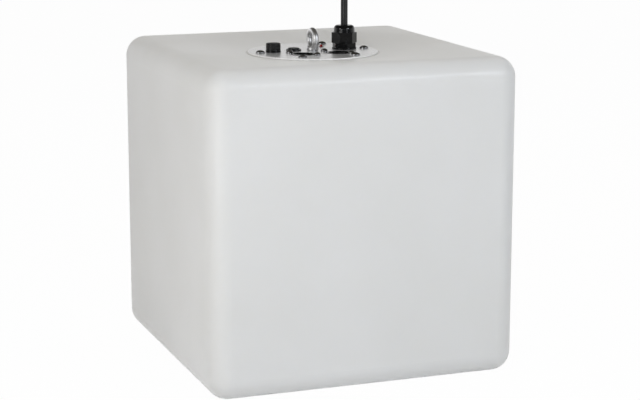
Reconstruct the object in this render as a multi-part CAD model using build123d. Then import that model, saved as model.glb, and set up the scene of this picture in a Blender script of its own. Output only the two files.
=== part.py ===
from build123d import *
import os
from math import acos, atan2, cos, hypot, pi, radians, sin, tan

# Hanging or standing cube light: a hollow translucent shell with a dished top, closed by a round control
# plate that carries every fitting, and a light engine hung inside from that plate. Millimetres. The origin
# is the middle of the shell's underside, +Z is up and the front face looks along -Y.

# Translucent shell
CUBE_SIDE = 300.0
EDGE_RADIUS = 19.5
SHELL_WALL = 4.0
DISH_RADIUS = 130.0
DISH_DEPTH = 6.65
DISH_RIM_RADIUS = 100.0
SEAT_MARGIN = 2.0
NECK_RADIUS = 47.5
NECK_DEPTH = 14.0
NECK_WALL = 13.0

# Control plate, its gasket and its screws
PLATE_RADIUS = 62.5
PLATE_THICK = 1.5
PLATE_RIM_ROUND = 0.3
GASKET_RADIUS = 60.0
GASKET_THICK = 1.0
SCREW_CIRCLE_RADIUS = 53.0
SCREW_COUNT = 6
PLATE_SCREW_RADIUS = 2.0
PLATE_SCREW_LENGTH = 11.0
PLATE_SCREW_HEAD_RADIUS = 4.3
PLATE_SCREW_HEAD_HEIGHT = 2.6
INSERT_RADIUS = 2.9
INSERT_LENGTH = 9.0
INSERT_POCKET_SPARE = 1.5

# Places of the fittings on the plate
EYE_AT = (0.0, 0.0)
FUSE_AT = (-38.9, 3.0)
BUTTON_AT = (-17.5, 5.0)
GLAND_AT = (34.0, 4.0)
DMX_IN_AT = (-17.5, -22.5)
DMX_OUT_AT = (17.5, -22.5)
STATUS_AT = (18.0, 25.0)

# Lifting eye
EYE_WIRE_RADIUS = 2.8
EYE_HOLE_RADIUS = 5.8
EYE_TURN = 1.5
EYE_COLLAR_RADIUS = 5.8
EYE_COLLAR_HEIGHT = 4.6
EYE_COLLAR_ROUND = 1.6
EYE_RISE = 10.9
EYE_SHANK_RADIUS = 3.0
EYE_SHANK_SPARE = 2.0
EYE_WASHER_RADIUS = 6.0
EYE_WASHER_THICK = 1.6
EYE_NUT_ACROSS = 10.0
EYE_NUT_HEIGHT = 5.0

# Cable gland and the mains cable
CABLE_RADIUS = 3.4
GLAND_THREAD_RADIUS = 7.6
GLAND_THREAD_LENGTH = 9.0
GLAND_WASHER_RADIUS = 11.8
GLAND_WASHER_THICK = 1.7
GLAND_WASHER_ROUND = 0.5
GLAND_HEX_ACROSS = 20.1
GLAND_HEX_HEIGHT = 4.1
GLAND_HEX_TURN = 24.7
GLAND_COLLAR_RADIUS = 7.4
GLAND_COLLAR_HEIGHT = 6.5
GLAND_BORE_RADIUS = 4.4
GLAND_SEAL_RADIUS = 5.6
GLAND_SEAL_HEIGHT = 9.5
GLAND_SEAL_FLOOR = 2.0
GLAND_NUT_RADIUS = 12.3
GLAND_NUT_ACROSS = 21.6
GLAND_NUT_HEIGHT = 10.3
GLAND_NUT_TURN = 47.2
GLAND_NUT_BEVEL = 0.6
GLAND_DOME_RADIUS = 10.4
GLAND_DOME_HEIGHT = 6.95
GLAND_DOME_TOP_RADIUS = 6.6
GLAND_SHOULDER_RADIUS = 10.1
GLAND_SHOULDER_RISE = 3.2
GLAND_LOCKNUT_ACROSS = 19.5
GLAND_LOCKNUT_HEIGHT = 5.0

# Signal sockets, one with pins and one with holes
SOCKET_BARREL_RADIUS = 11.8
SOCKET_PROUD = 0.4
SOCKET_RIM_CHAMFER = 0.3
SOCKET_FLANGE_WIDTH = 26.0
SOCKET_FLANGE_LENGTH = 31.0
SOCKET_FLANGE_CORNER = 4.5
SOCKET_FLANGE_THICK = 1.8
SOCKET_CUP_RADIUS = 11.2
SOCKET_CUP_DEPTH = 23.0
SOCKET_WELL_RADIUS = 9.5
SOCKET_WELL_DEPTH = 14.5
SOCKET_CORE_RADIUS = 7.7
SOCKET_CORE_SUNK = 1.0
SOCKET_PIN_CIRCLE = 4.9
SOCKET_PIN_RADIUS = 1.2
SOCKET_PIN_SUNK = 1.6
SOCKET_PIN_CHAMFER = 0.5
SOCKET_TAIL_LENGTH = 5.0
SOCKET_CONTACT_RADIUS = 1.5
SOCKET_CONTACT_BORE = 1.2
SOCKET_CONTACT_SUNK = 2.5
SOCKET_CONTACT_DEPTH = 9.0
SOCKET_CONTACT_FLOOR = 1.0
SOCKET_SCREW_OFFSET = (9.5, 12.0)
SOCKET_SCREW_RADIUS = 1.5
SOCKET_SCREW_HEAD_RADIUS = 3.3
SOCKET_SCREW_HEAD_HEIGHT = 3.0
SOCKET_SCREW_SPARE = 1.5
SOCKET_NUT_ACROSS = 5.5
SOCKET_NUT_HEIGHT = 2.4
LATCH_WIDTH = 6.0
LATCH_THICK = 1.2
LATCH_LENGTH = 7.0
LATCH_PROUD = 1.0
LATCH_TRAVEL = 1.2

# Fuse holder and its glass fuse
FUSE_FLANGE_RADIUS = 7.3
FUSE_FLANGE_THICK = 1.6
FUSE_BARREL_RADIUS = 6.0
FUSE_BORE_RADIUS = 4.4
FUSE_FLOOR_THICK = 2.0
FUSE_CAP_RADIUS = 7.0
FUSE_CAP_HEIGHT = 6.7
FUSE_CAP_ROUND = 0.9
FUSE_CAP_FLUTES = 20
FUSE_FLUTE_RADIUS = 0.6
FUSE_FLUTE_OUT = 0.42
FUSE_FLUTE_DROP = 1.7
FUSE_PLUG_LENGTH = 9.0
FUSE_PLUG_HOLD = 4.0
FUSE_SLOT_WIDTH = 1.6
FUSE_SLOT_LENGTH = 9.1
FUSE_SLOT_DEPTH = 1.2
FUSE_LENGTH = 20.0
FUSE_GLASS_RADIUS = 2.3
FUSE_GLASS_WALL = 0.5
FUSE_END_RADIUS = 2.6
FUSE_END_LENGTH = 5.5
FUSE_END_WALL = 0.25
FUSE_CONTACT_RADIUS = 3.6
FUSE_CONTACT_THICK = 1.0
FUSE_TAIL_RADIUS = 1.2
FUSE_TAIL_LENGTH = 8.0
FUSE_NUT_ACROSS = 14.0
FUSE_NUT_HEIGHT = 3.5

# Mode button
BUTTON_BEZEL_RADIUS = 7.3
BUTTON_BEZEL_HEIGHT = 1.9
BUTTON_BEZEL_ROUND = 0.6
BUTTON_BARREL_RADIUS = 6.0
BUTTON_BARREL_LENGTH = 18.0
BUTTON_CAP_RADIUS = 5.5
BUTTON_CAP_PROUD = 0.9
BUTTON_CAP_LENGTH = 7.0
BUTTON_CAP_ROUND = 0.6
BUTTON_TRAVEL = 1.5
BUTTON_TAG_RADIUS = 0.9
BUTTON_TAG_LENGTH = 6.0
BUTTON_TAG_SPREAD = 2.6
BUTTON_NUT_ACROSS = 14.0
BUTTON_NUT_HEIGHT = 3.0

# Status light
STATUS_BEZEL_RADIUS = 2.5
STATUS_BEZEL_HEIGHT = 0.5
STATUS_BEZEL_ROUND = 0.3
STATUS_BARREL_RADIUS = 2.1
STATUS_BARREL_LENGTH = 6.0
STATUS_LENS_RADIUS = 1.5
STATUS_LENS_PROUD = 0.3
STATUS_NUT_ACROSS = 7.0
STATUS_NUT_HEIGHT = 2.0

# Chassis bracket inside
BRACKET_THICK = 3.0
BRACKET_NECK_WIDTH = 17.0
BRACKET_NECK_DROP = 32.0
BRACKET_FRONT = 6.6
BRACKET_WEB_AT = 22.0
BRACKET_WEB_WIDTH = 44.0
BRACKET_DROP = 153.35
BRACKET_BEND = 4.0

# Power supply
SUPPLY_WIDTH = 40.0
SUPPLY_DEPTH = 28.0
SUPPLY_HEIGHT = 88.0
SUPPLY_DROP = 40.35
SUPPLY_CORNER = 2.0
SUPPLY_SCREW_INSET = 15.0
SUPPLY_SCREW_GRIP = 6.0
SUPPLY_INLET_DROP = 17.0

# Control board
BOARD_WIDTH = 42.0
BOARD_HEIGHT = 80.0
BOARD_THICK = 1.6
BOARD_DROP = 43.35
BOARD_HOLE_INSET = 4.0
STANDOFF_ACROSS = 5.0
STANDOFF_LENGTH = 6.0
PLUG_BLOCK = (8.0, 7.0, 12.0)
PLUG_BLOCK_OVERHANG = 2.0
PLUG_BLOCK_RISE = 50.0
CHIP = (14.0, 2.2, 14.0)
CAPACITOR_RADIUS = 4.0
CAPACITOR_LENGTH = 6.0
LED_BLOCK = (12.0, 7.0, 8.0)

# Light engine
POST_WIDTH = 56.0
POST_WALL = 3.0
POST_CORNER = 3.0
POST_DROP = 133.35
POST_SCREW_DROP = 10.0
POST_SCREW_SPREAD = 12.0
LED_BOARD_WIDTH = 40.0
LED_BOARD_HEIGHT = 84.0
LED_BOARD_THICK = 1.6
LED_BOARD_CLEAR = 8.2
LED_BOARD_RISE = 6.0
LED_COLUMNS = 2
LED_ROWS = 4
LED_PITCH_ACROSS = 22.0
LED_PITCH_UP = 20.0
LED_SIZE = 5.0
LED_THICK = 1.6
LED_SCREW_INSET = 5.0

# Machine screws: sizes inside the cube, and the shares of the head that every screw's form takes
M3_RADIUS = 1.5
M3_HEAD_RADIUS = 2.8
M3_HEAD_HEIGHT = 2.0
M4_RADIUS = 2.0
M4_HEAD_RADIUS = 3.8
M4_HEAD_HEIGHT = 2.4
SCREW_EDGE = 0.45
SCREW_DOME_OUT = 0.62
SCREW_DOME_UP = 0.87
RECESS_SPAN = 1.1
RECESS_WIDTH = 0.28
RECESS_DEPTH = 0.55

# Leads inside
SIGNAL_LEAD_RADIUS = 2.0
SIGNAL_LEAD_DROP = 22.0
SIGNAL_LEAD_SWING = 38.0
SIGNAL_LEAD_BEND = 9.0
LED_LEAD_RADIUS = 1.5
LED_LEAD_BEND = 5.0
MAINS_LEAD_BEND = 12.5

# Mains cable's corners, and the coil, tie and plug at its far end
CABLE_ARC_SHARE = 0.45
COIL_AT = (-8.0, 211.4)
COIL_RADIUS = 45.4
COIL_PITCH = 7.4
COIL_LIFT = 1.4
COIL_HALF_TURNS_IN = 4
TIE_WIDTH = 8.0
TIE_THICK = 0.8
TIE_CLEAR = 0.5
TIE_ROUND = 0.7
TIE_HEAD = (4.2, 5.6, 5.0)
TIE_TAIL = 11.0
PLUG_FACE_RADIUS = 18.5
PLUG_FACE_LENGTH = 17.0
PLUG_GRIP_RADIUS = 11.0
PLUG_GRIP_LENGTH = 22.0
PLUG_GRIP_FLARE = 1.5
PLUG_SHOULDER = 4.0
PLUG_BULGE = (2.2, 1.6)
PLUG_RIM_AT = 3.0
PLUG_RELIEF_RADIUS = 5.6
PLUG_RELIEF_WALL = 1.0
PLUG_GROOVE_WALL = 0.8
PLUG_GROOVE_HALF = 1.0
PLUG_RELIEF_LENGTH = 32.0
PLUG_RELIEF_GROOVES = 5
PLUG_PIN_SPREAD = 19.0
PLUG_PIN_RADIUS = 2.4
PLUG_PIN_LENGTH = 19.0
PLUG_PIN_ROUND = 1.4
PLUG_KEY_WIDTH = 5.5
PLUG_KEY_DEPTH = 3.0
PLUG_KEY_AT = 5.0
PLUG_AT_X = 59.0

# Clearances
HOLE_CLEAR = 0.2
FIT_CLEAR = 0.05
SLIDE_CLEAR = 0.25
FLOOR_CLEAR = 0.1

UP = (Align.CENTER, Align.CENTER, Align.MIN)

# Levels that the pieces share
SEAT_Z = CUBE_SIDE - DISH_DEPTH
PLATE_TOP = SEAT_Z + PLATE_THICK
GASKET_FLOOR = SEAT_Z - GASKET_THICK
SEAT_RADIUS = PLATE_RADIUS + SEAT_MARGIN
BRACKET_Z = SEAT_Z - BRACKET_THICK
WEB_BACK = BRACKET_WEB_AT + BRACKET_THICK
GLAND_BASE = PLATE_TOP + GLAND_WASHER_THICK
GLAND_NUT_BASE = GLAND_BASE + GLAND_HEX_HEIGHT + HOLE_CLEAR
GLAND_NUT_TOP = GLAND_NUT_BASE + GLAND_NUT_HEIGHT
GLAND_TOP = GLAND_NUT_TOP + GLAND_DOME_HEIGHT
SOCKET_TOP = PLATE_TOP + SOCKET_PROUD
SOCKET_FLANGE_Z = SEAT_Z - SOCKET_FLANGE_THICK
SOCKET_FLOOR = PLATE_TOP - SOCKET_WELL_DEPTH
SOCKET_BACK = SEAT_Z - SOCKET_CUP_DEPTH
BRACKET_FOOT = SEAT_Z - BRACKET_DROP
SUPPLY_FLOOR = SEAT_Z - SUPPLY_DROP - SUPPLY_HEIGHT
BOARD_FLOOR = SEAT_Z - BOARD_DROP - BOARD_HEIGHT
POST_TOP = SEAT_Z - POST_DROP
LED_BOARD_TOP = POST_TOP - POST_SCREW_DROP - M4_HEAD_RADIUS - LED_BOARD_CLEAR
LED_BOARD_FLOOR = LED_BOARD_TOP - LED_BOARD_HEIGHT
POST_FLOOR = LED_BOARD_FLOOR - LED_BOARD_RISE
BOARD_FRONT = WEB_BACK + STANDOFF_LENGTH
BOARD_BACK = BOARD_FRONT + BOARD_THICK


def rod(radius, low, high, at=(0.0, 0.0)):
    return Pos(at[0], at[1], low) * Cylinder(radius, high - low, align=UP)


def ring(outer, inner, low, high, at=(0.0, 0.0)):
    return rod(outer, low, high, at) - rod(inner, low, high, at)


def block(low, high):
    size = [b - a for a, b in zip(low, high)]
    middle = [(a + b) / 2 for a, b in zip(low, high)]
    return Pos(*middle) * Box(*size)


def hexagon(across, low, high, at=(0.0, 0.0), turn=0.0):
    face = RegularPolygon(across / 2, 6, major_radius=False, rotation=turn)
    return Pos(at[0], at[1], low) * extrude(face, high - low)


def spun(*edges):
    return revolve(Plane.XZ * make_face(Curve() + list(edges)), Axis.Z)


def on_circle(radius, count, start=0.0):
    angles = [radians(start + 360 * i / count) for i in range(count)]
    return [(radius * cos(a), radius * sin(a)) for a in angles]


def screw(head_radius, head_height, shank_radius, length):
    # Pan-head machine screw with a cross recess, its head sitting on z = 0
    edge = head_height * SCREW_EDGE
    bulge = (head_radius * SCREW_DOME_OUT, head_height * SCREW_DOME_UP)
    head = spun(
        Polyline((0, head_height), (0, 0), (head_radius, 0), (head_radius, edge)),
        ThreePointArc((head_radius, edge), bulge, (0, head_height)),
    )
    width = head_radius * RECESS_WIDTH
    depth = head_height * RECESS_DEPTH
    arm = Pos(0, 0, head_height - depth) * Box(head_radius * RECESS_SPAN, width, head_height, align=UP)
    return head - (arm + Rot(0, 0, 90) * arm) + rod(shank_radius, -length, 0)


def tube(path, radius):
    return sweep(Plane(path @ 0, z_dir=path % 0) * Circle(radius), path)


def group(solids):
    return Compound(children=list(solids))


# Shell: one hollow moulding whose top sinks in a shallow dish to a round seat, with a thick neck for inserts
def dish_edges(lower):
    rise = DISH_RADIUS - SEAT_RADIUS
    drop = DISH_RIM_RADIUS - DISH_DEPTH
    slope = atan2(rise, drop) - acos(DISH_RIM_RADIUS / hypot(drop, rise))
    top = CUBE_SIDE - lower
    arc = [
        (DISH_RADIUS - DISH_RIM_RADIUS * sin(a), top - DISH_RIM_RADIUS * (1 - cos(a)))
        for a in (0, slope / 2, slope)
    ]
    return [ThreePointArc(*arc), Line(arc[2], (SEAT_RADIUS, top - DISH_DEPTH))]


def cube_shell():
    outer = fillet((Box(CUBE_SIDE, CUBE_SIDE, CUBE_SIDE, align=UP)).edges(), EDGE_RADIUS)
    inside = CUBE_SIDE - 2 * SHELL_WALL
    cavity = fillet((Box(inside, inside, inside, align=UP)).edges(), EDGE_RADIUS - SHELL_WALL)
    neck_foot = SEAT_Z - NECK_DEPTH
    neck_side = NECK_RADIUS + NECK_WALL
    dish_wall = spun(
        *dish_edges(SHELL_WALL),
        Polyline(
            (SEAT_RADIUS, SEAT_Z - SHELL_WALL),
            (neck_side, SEAT_Z - SHELL_WALL),
            (neck_side, neck_foot),
            (NECK_RADIUS, neck_foot),
            (NECK_RADIUS, CUBE_SIDE),
            (DISH_RADIUS, CUBE_SIDE),
            (DISH_RADIUS, CUBE_SIDE - SHELL_WALL),
        ),
    )
    dish = spun(
        *dish_edges(0),
        Polyline(
            (SEAT_RADIUS, SEAT_Z),
            (0, SEAT_Z),
            (0, CUBE_SIDE + DISH_DEPTH),
            (DISH_RADIUS, CUBE_SIDE + DISH_DEPTH),
            (DISH_RADIUS, CUBE_SIDE),
        ),
    )
    shell = outer - (Pos(0, 0, SHELL_WALL) * cavity - dish_wall) - dish
    shell -= rod(NECK_RADIUS, neck_foot, SEAT_Z)
    shell -= rod(GASKET_RADIUS + HOLE_CLEAR, GASKET_FLOOR, SEAT_Z)
    pocket_floor = GASKET_FLOOR - INSERT_LENGTH - INSERT_POCKET_SPARE
    for spot in on_circle(SCREW_CIRCLE_RADIUS, SCREW_COUNT):
        shell -= rod(INSERT_RADIUS + FIT_CLEAR, pocket_floor, GASKET_FLOOR, spot)
    return shell


def threaded_inserts():
    foot = GASKET_FLOOR - INSERT_LENGTH
    bore = PLATE_SCREW_RADIUS + FIT_CLEAR
    spots = on_circle(SCREW_CIRCLE_RADIUS, SCREW_COUNT)
    return group(ring(INSERT_RADIUS, bore, foot, GASKET_FLOOR, spot) for spot in spots)


def plate_gasket():
    gasket = ring(GASKET_RADIUS, NECK_RADIUS, GASKET_FLOOR, SEAT_Z)
    for spot in on_circle(SCREW_CIRCLE_RADIUS, SCREW_COUNT):
        gasket -= rod(INSERT_RADIUS, GASKET_FLOOR, SEAT_Z, spot)
    return gasket


# Control plate and what fastens it
def socket_screw_spots():
    dx, dy = SOCKET_SCREW_OFFSET
    return [(x + side * dx, y - side * dy) for x, y in (DMX_IN_AT, DMX_OUT_AT) for side in (-1, 1)]


def control_plate():
    plate = rod(PLATE_RADIUS, SEAT_Z, PLATE_TOP)
    plate = fillet(plate.edges().group_by(Axis.Z)[-1], PLATE_RIM_ROUND)
    holes = [
        (EYE_AT, EYE_SHANK_RADIUS),
        (FUSE_AT, FUSE_BARREL_RADIUS),
        (BUTTON_AT, BUTTON_BARREL_RADIUS),
        (GLAND_AT, GLAND_THREAD_RADIUS),
        (DMX_IN_AT, SOCKET_BARREL_RADIUS),
        (DMX_OUT_AT, SOCKET_BARREL_RADIUS),
        (STATUS_AT, STATUS_BARREL_RADIUS),
    ]
    holes += [(spot, PLATE_SCREW_RADIUS) for spot in on_circle(SCREW_CIRCLE_RADIUS, SCREW_COUNT)]
    holes += [(spot, SOCKET_SCREW_RADIUS) for spot in socket_screw_spots()]
    for spot, radius in holes:
        plate -= rod(radius + HOLE_CLEAR, SEAT_Z, PLATE_TOP, spot)
    return plate


def plate_screws():
    one = screw(PLATE_SCREW_HEAD_RADIUS, PLATE_SCREW_HEAD_HEIGHT, PLATE_SCREW_RADIUS, PLATE_SCREW_LENGTH)
    return group(Pos(x, y, PLATE_TOP) * one for x, y in on_circle(SCREW_CIRCLE_RADIUS, SCREW_COUNT))


# Lifting eye, which also clamps the bracket under the plate
def eye_foot():
    return BRACKET_Z - EYE_WASHER_THICK - EYE_NUT_HEIGHT - EYE_SHANK_SPARE


def eye_bolt():
    loop = Rot(0, 0, EYE_TURN) * Rot(0, 90, 0) * Torus(EYE_HOLE_RADIUS + EYE_WIRE_RADIUS, EYE_WIRE_RADIUS)
    loop = Pos(*EYE_AT, PLATE_TOP + EYE_RISE) * loop
    collar = rod(EYE_COLLAR_RADIUS, PLATE_TOP, PLATE_TOP + EYE_COLLAR_HEIGHT, EYE_AT)
    collar = fillet(collar.edges().filter_by(GeomType.CIRCLE), EYE_COLLAR_ROUND)
    return loop + collar + rod(EYE_SHANK_RADIUS, eye_foot(), PLATE_TOP, EYE_AT)


def eye_washer():
    low = BRACKET_Z - EYE_WASHER_THICK
    return ring(EYE_WASHER_RADIUS, EYE_SHANK_RADIUS + HOLE_CLEAR, low, BRACKET_Z, EYE_AT)


def eye_nut():
    top = BRACKET_Z - EYE_WASHER_THICK
    bore = rod(EYE_SHANK_RADIUS + FIT_CLEAR, top - EYE_NUT_HEIGHT, top, EYE_AT)
    return hexagon(EYE_NUT_ACROSS, top - EYE_NUT_HEIGHT, top, EYE_AT) - bore


# Cable gland: threaded body, washer, rubber seal, domed clamping nut and a locknut under the plate
def gland_washer():
    disc = rod(GLAND_WASHER_RADIUS, PLATE_TOP, GLAND_BASE, GLAND_AT)
    disc = fillet(disc.edges().group_by(Axis.Z)[-1], GLAND_WASHER_ROUND)
    return disc - rod(GLAND_THREAD_RADIUS + HOLE_CLEAR, PLATE_TOP, GLAND_BASE, GLAND_AT)


def gland_body():
    collar_foot = GLAND_BASE + GLAND_HEX_HEIGHT
    collar_top = collar_foot + GLAND_COLLAR_HEIGHT
    body = rod(GLAND_THREAD_RADIUS, SEAT_Z - GLAND_THREAD_LENGTH, GLAND_BASE, GLAND_AT)
    body += hexagon(GLAND_HEX_ACROSS, GLAND_BASE, collar_foot, GLAND_AT, GLAND_HEX_TURN)
    body += rod(GLAND_COLLAR_RADIUS, collar_foot, collar_top, GLAND_AT)
    body -= rod(GLAND_BORE_RADIUS, SEAT_Z - GLAND_THREAD_LENGTH, collar_top, GLAND_AT)
    return body - rod(GLAND_SEAL_RADIUS + HOLE_CLEAR, collar_foot + GLAND_SEAL_FLOOR, collar_top, GLAND_AT)


def gland_seal():
    foot = GLAND_BASE + GLAND_HEX_HEIGHT + GLAND_SEAL_FLOOR
    return ring(GLAND_SEAL_RADIUS, CABLE_RADIUS + FIT_CLEAR, foot, foot + GLAND_SEAL_HEIGHT, GLAND_AT)


def gland_dome_nut():
    # A hexagon with its corners turned down, under a smooth dome that narrows to the cable
    bevel = GLAND_NUT_TOP - GLAND_NUT_BEVEL
    low_bevel = GLAND_NUT_BASE + GLAND_NUT_BEVEL
    rim = GLAND_NUT_RADIUS - GLAND_NUT_BEVEL
    turned = spun(
        Polyline(
            (0, GLAND_NUT_BASE),
            (rim, GLAND_NUT_BASE),
            (GLAND_NUT_RADIUS, low_bevel),
            (GLAND_NUT_RADIUS, bevel),
            (rim, GLAND_NUT_TOP),
            (0, GLAND_NUT_TOP),
            (0, GLAND_NUT_BASE),
        )
    )
    shoulder = GLAND_NUT_TOP + GLAND_SHOULDER_RISE
    turn = cos(pi / 4)
    middle = (
        GLAND_DOME_TOP_RADIUS + (GLAND_SHOULDER_RADIUS - GLAND_DOME_TOP_RADIUS) * turn,
        shoulder + (GLAND_TOP - shoulder) * turn,
    )
    dome = spun(
        Polyline(
            (0, GLAND_TOP),
            (0, GLAND_NUT_TOP),
            (GLAND_DOME_RADIUS, GLAND_NUT_TOP),
            (GLAND_SHOULDER_RADIUS, shoulder),
        ),
        ThreePointArc((GLAND_SHOULDER_RADIUS, shoulder), middle, (GLAND_DOME_TOP_RADIUS, GLAND_TOP)),
        Line((GLAND_DOME_TOP_RADIUS, GLAND_TOP), (0, GLAND_TOP)),
    )
    nut = Pos(*GLAND_AT, 0) * turned
    nut &= hexagon(GLAND_NUT_ACROSS, GLAND_NUT_BASE, GLAND_NUT_TOP, GLAND_AT, GLAND_NUT_TURN)
    nut += Pos(*GLAND_AT, 0) * dome
    collar_top = GLAND_BASE + GLAND_HEX_HEIGHT + GLAND_COLLAR_HEIGHT
    seal_top = GLAND_BASE + GLAND_HEX_HEIGHT + GLAND_SEAL_FLOOR + GLAND_SEAL_HEIGHT
    nut -= rod(GLAND_COLLAR_RADIUS + HOLE_CLEAR, GLAND_NUT_BASE, collar_top + HOLE_CLEAR, GLAND_AT)
    nut -= rod(GLAND_SEAL_RADIUS + HOLE_CLEAR, GLAND_NUT_BASE, seal_top + FIT_CLEAR, GLAND_AT)
    return nut - rod(CABLE_RADIUS + SLIDE_CLEAR, GLAND_NUT_BASE, GLAND_TOP, GLAND_AT)


def gland_locknut():
    nut = hexagon(GLAND_LOCKNUT_ACROSS, SEAT_Z - GLAND_LOCKNUT_HEIGHT, SEAT_Z, GLAND_AT)
    return nut - rod(GLAND_THREAD_RADIUS + FIT_CLEAR, SEAT_Z - GLAND_LOCKNUT_HEIGHT, SEAT_Z, GLAND_AT)


# Signal sockets, held against the plate's underside with their barrels filling its holes
def socket_shell(at):
    flange = RectangleRounded(SOCKET_FLANGE_WIDTH, SOCKET_FLANGE_LENGTH, SOCKET_FLANGE_CORNER)
    shell = Pos(*at, SOCKET_FLANGE_Z) * extrude(flange, SOCKET_FLANGE_THICK)
    barrel = rod(SOCKET_BARREL_RADIUS, SEAT_Z, SOCKET_TOP, at)
    shell += chamfer(barrel.edges().group_by(Axis.Z)[-1], SOCKET_RIM_CHAMFER)
    shell += rod(SOCKET_CUP_RADIUS, SOCKET_BACK, SOCKET_FLANGE_Z, at)
    shell -= rod(SOCKET_WELL_RADIUS, SOCKET_FLOOR, SOCKET_TOP, at)
    for spot in socket_screw_spots():
        shell -= rod(SOCKET_SCREW_RADIUS + HOLE_CLEAR, SOCKET_FLANGE_Z, SEAT_Z, spot)
    return shell


def pin_spots(at):
    return [(at[0] + x, at[1] + y) for x, y in on_circle(SOCKET_PIN_CIRCLE, 3, 90)]


def dmx_in_socket():
    shell = socket_shell(DMX_IN_AT)
    for spot in pin_spots(DMX_IN_AT):
        shell -= rod(SOCKET_PIN_RADIUS + FIT_CLEAR, SOCKET_BACK, SOCKET_FLOOR, spot)
    return shell


def dmx_in_pins():
    foot = SOCKET_BACK - SOCKET_TAIL_LENGTH
    top = PLATE_TOP - SOCKET_PIN_SUNK
    pins = [rod(SOCKET_PIN_RADIUS, foot, top, spot) for spot in pin_spots(DMX_IN_AT)]
    return group(chamfer(pin.edges().group_by(Axis.Z)[-1], SOCKET_PIN_CHAMFER) for pin in pins)


def latch_spot(outer, half_width, low, high):
    # Space between the well and the barrel's rim, on the side away from the plate's middle
    x, y = DMX_OUT_AT
    return block((x - half_width, y - outer, low), (x + half_width, y - SOCKET_CORE_RADIUS, high))


def dmx_out_socket():
    shell = socket_shell(DMX_OUT_AT)
    for spot in pin_spots(DMX_OUT_AT):
        shell -= rod(SOCKET_PIN_RADIUS + FIT_CLEAR, SOCKET_BACK, SOCKET_FLOOR, spot)
    outer = SOCKET_WELL_RADIUS + LATCH_THICK + 2 * SLIDE_CLEAR
    low = PLATE_TOP + LATCH_PROUD - LATCH_LENGTH - LATCH_TRAVEL - SLIDE_CLEAR
    slot = latch_spot(outer, LATCH_WIDTH / 2 + SLIDE_CLEAR, low, SOCKET_TOP)
    return shell - (slot - rod(SOCKET_WELL_RADIUS, low, SOCKET_TOP, DMX_OUT_AT))


def dmx_out_core():
    top = PLATE_TOP - SOCKET_CORE_SUNK
    contact_foot = top - SOCKET_CONTACT_SUNK - SOCKET_CONTACT_DEPTH
    core = rod(SOCKET_CORE_RADIUS, SOCKET_FLOOR, top, DMX_OUT_AT)
    core = chamfer(core.edges().group_by(Axis.Z)[-1], SOCKET_RIM_CHAMFER)
    for spot in pin_spots(DMX_OUT_AT):
        core -= rod(SOCKET_CONTACT_RADIUS + FIT_CLEAR, contact_foot, top, spot)
        core -= rod(SOCKET_PIN_RADIUS + FIT_CLEAR, SOCKET_FLOOR, contact_foot, spot)
    return core


def dmx_out_contacts():
    top = PLATE_TOP - SOCKET_CORE_SUNK - SOCKET_CONTACT_SUNK
    low = top - SOCKET_CONTACT_DEPTH
    foot = SOCKET_BACK - SOCKET_TAIL_LENGTH
    return group(
        ring(SOCKET_CONTACT_RADIUS, SOCKET_CONTACT_BORE, low, top, spot)
        + rod(SOCKET_CONTACT_RADIUS, low, low + SOCKET_CONTACT_FLOOR, spot)
        + rod(SOCKET_PIN_RADIUS, foot, low, spot)
        for spot in pin_spots(DMX_OUT_AT)
    )


def dmx_latch():
    top = PLATE_TOP + LATCH_PROUD
    inner = SOCKET_WELL_RADIUS + SLIDE_CLEAR
    tab = latch_spot(inner + LATCH_THICK, LATCH_WIDTH / 2, top - LATCH_LENGTH, top)
    return tab - rod(inner, top - LATCH_LENGTH, top, DMX_OUT_AT)


def socket_screws():
    length = PLATE_THICK + SOCKET_FLANGE_THICK + SOCKET_NUT_HEIGHT + SOCKET_SCREW_SPARE
    one = screw(SOCKET_SCREW_HEAD_RADIUS, SOCKET_SCREW_HEAD_HEIGHT, SOCKET_SCREW_RADIUS, length)
    return group(Pos(x, y, PLATE_TOP) * one for x, y in socket_screw_spots())


def socket_nuts():
    low = SOCKET_FLANGE_Z - SOCKET_NUT_HEIGHT
    return group(
        hexagon(SOCKET_NUT_ACROSS, low, SOCKET_FLANGE_Z, spot)
        - rod(SOCKET_SCREW_RADIUS + FIT_CLEAR, low, SOCKET_FLANGE_Z, spot)
        for spot in socket_screw_spots()
    )


# Fuse holder: the cap's plug grips the fuse, so a turn frees the cap and the fuse comes out with it
FUSE_CAP_BASE = PLATE_TOP + FUSE_FLANGE_THICK + HOLE_CLEAR
FUSE_PLUG_FOOT = FUSE_CAP_BASE - FUSE_PLUG_LENGTH
FUSE_TOP = FUSE_PLUG_FOOT + FUSE_PLUG_HOLD - HOLE_CLEAR
FUSE_FOOT = FUSE_TOP - FUSE_LENGTH
FUSE_FLOOR = FUSE_FOOT - FIT_CLEAR - FUSE_CONTACT_THICK


def fuse_holder_body():
    low = FUSE_FLOOR - FUSE_FLOOR_THICK
    body = rod(FUSE_BARREL_RADIUS, low, PLATE_TOP, FUSE_AT)
    body += rod(FUSE_FLANGE_RADIUS, PLATE_TOP, PLATE_TOP + FUSE_FLANGE_THICK, FUSE_AT)
    body -= rod(FUSE_BORE_RADIUS, FUSE_FLOOR, PLATE_TOP + FUSE_FLANGE_THICK, FUSE_AT)
    return body - rod(FUSE_TAIL_RADIUS + FIT_CLEAR, low, FUSE_FLOOR, FUSE_AT)


def fuse_contact():
    foot = FUSE_FLOOR - FUSE_FLOOR_THICK - FUSE_TAIL_LENGTH
    disc = rod(FUSE_CONTACT_RADIUS, FUSE_FLOOR, FUSE_FLOOR + FUSE_CONTACT_THICK, FUSE_AT)
    return disc + rod(FUSE_TAIL_RADIUS, foot, FUSE_FLOOR, FUSE_AT)


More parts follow.
